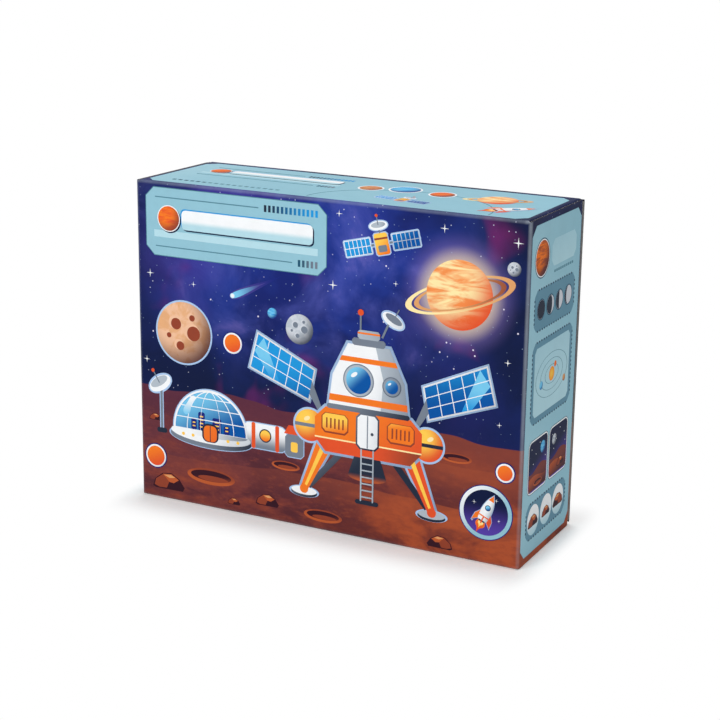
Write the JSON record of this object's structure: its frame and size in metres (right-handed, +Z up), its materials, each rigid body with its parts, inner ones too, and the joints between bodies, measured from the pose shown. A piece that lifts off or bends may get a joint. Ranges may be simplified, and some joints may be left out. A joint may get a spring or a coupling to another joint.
{
  "type": "printed folding carton",
  "caption": "Empty folding carton of printed board with a glued sleeve and, at each end, a hinged end panel, tuck flap and dust flaps.",
  "frame": {"origin": "middle of the carton's footprint, on the surface that it stands on", "axes": "+X along the front from left to right, +Y from front to back, +Z up"},
  "size_m": [0.28, 0.09, 0.22],
  "materials": {
    "printed_front": "gloss",
    "printed_back": "gloss",
    "printed_top": "gloss",
    "printed_bottom": "gloss",
    "printed_end": "gloss",
    "plain_board": "matte"
  },
  "bodies": {
    "sleeve": {"front_panel": "printed_front", "back_panel": "printed_back", "top_panel": "printed_top", "bottom_panel": "printed_bottom", "glue_flap": "plain_board"},
    "right_end": {"right_end_panel": "printed_end"},
    "right_tuck": {"right_tuck_flap": "plain_board"},
    "right_top_dust": {"right_top_dust_flap": "plain_board"},
    "right_bottom_dust": {"right_bottom_dust_flap": "plain_board"},
    "left_end": {"left_end_panel": "printed_end"},
    "left_tuck": {"left_tuck_flap": "plain_board"},
    "left_top_dust": {"left_top_dust_flap": "plain_board"},
    "left_bottom_dust": {"left_bottom_dust_flap": "plain_board"}
  },
  "joints": [
    {"name": "right_end_open", "type": "hinge", "parent": "sleeve", "child": "right_end", "pos_m": [0.14, -0.045, 0.11], "axis": [0, 0, -1], "range_deg": [0, 180]},
    {"name": "right_tuck_unfold", "type": "hinge", "parent": "right_end", "child": "right_tuck", "pos_m": [0.14, 0.0434, 0.11], "axis": [0, 0, -1], "range_deg": [0, 63]},
    {"name": "right_top_dust_unfold", "type": "hinge", "parent": "sleeve", "child": "right_top_dust", "pos_m": [0.1384, 0, 0.22], "axis": [0, -1, 0], "range_deg": [0, 90]},
    {"name": "right_bottom_dust_unfold", "type": "hinge", "parent": "sleeve", "child": "right_bottom_dust", "pos_m": [0.1384, 0, 0], "axis": [0, 1, 0], "range_deg": [0, 90]},
    {"name": "left_end_open", "type": "hinge", "parent": "sleeve", "child": "left_end", "pos_m": [-0.14, -0.045, 0.11], "axis": [0, 0, 1], "range_deg": [0, 180]},
    {"name": "left_tuck_unfold", "type": "hinge", "parent": "left_end", "child": "left_tuck", "pos_m": [-0.14, 0.0434, 0.11], "axis": [0, 0, 1], "range_deg": [0, 63]},
    {"name": "left_top_dust_unfold", "type": "hinge", "parent": "sleeve", "child": "left_top_dust", "pos_m": [-0.1384, 0, 0.22], "axis": [0, 1, 0], "range_deg": [0, 90]},
    {"name": "left_bottom_dust_unfold", "type": "hinge", "parent": "sleeve", "child": "left_bottom_dust", "pos_m": [-0.1384, 0, 0], "axis": [0, -1, 0], "range_deg": [0, 90]}
  ],
  "couplings": [
    {"joint": "right_tuck_unfold", "follows": "right_end_open", "ratio": 0.35},
    {"joint": "right_top_dust_unfold", "follows": "right_end_open", "ratio": 0.5},
    {"joint": "right_bottom_dust_unfold", "follows": "right_end_open", "ratio": 0.5},
    {"joint": "left_tuck_unfold", "follows": "left_end_open", "ratio": 0.35},
    {"joint": "left_top_dust_unfold", "follows": "left_end_open", "ratio": 0.5},
    {"joint": "left_bottom_dust_unfold", "follows": "left_end_open", "ratio": 0.5}
  ]
}
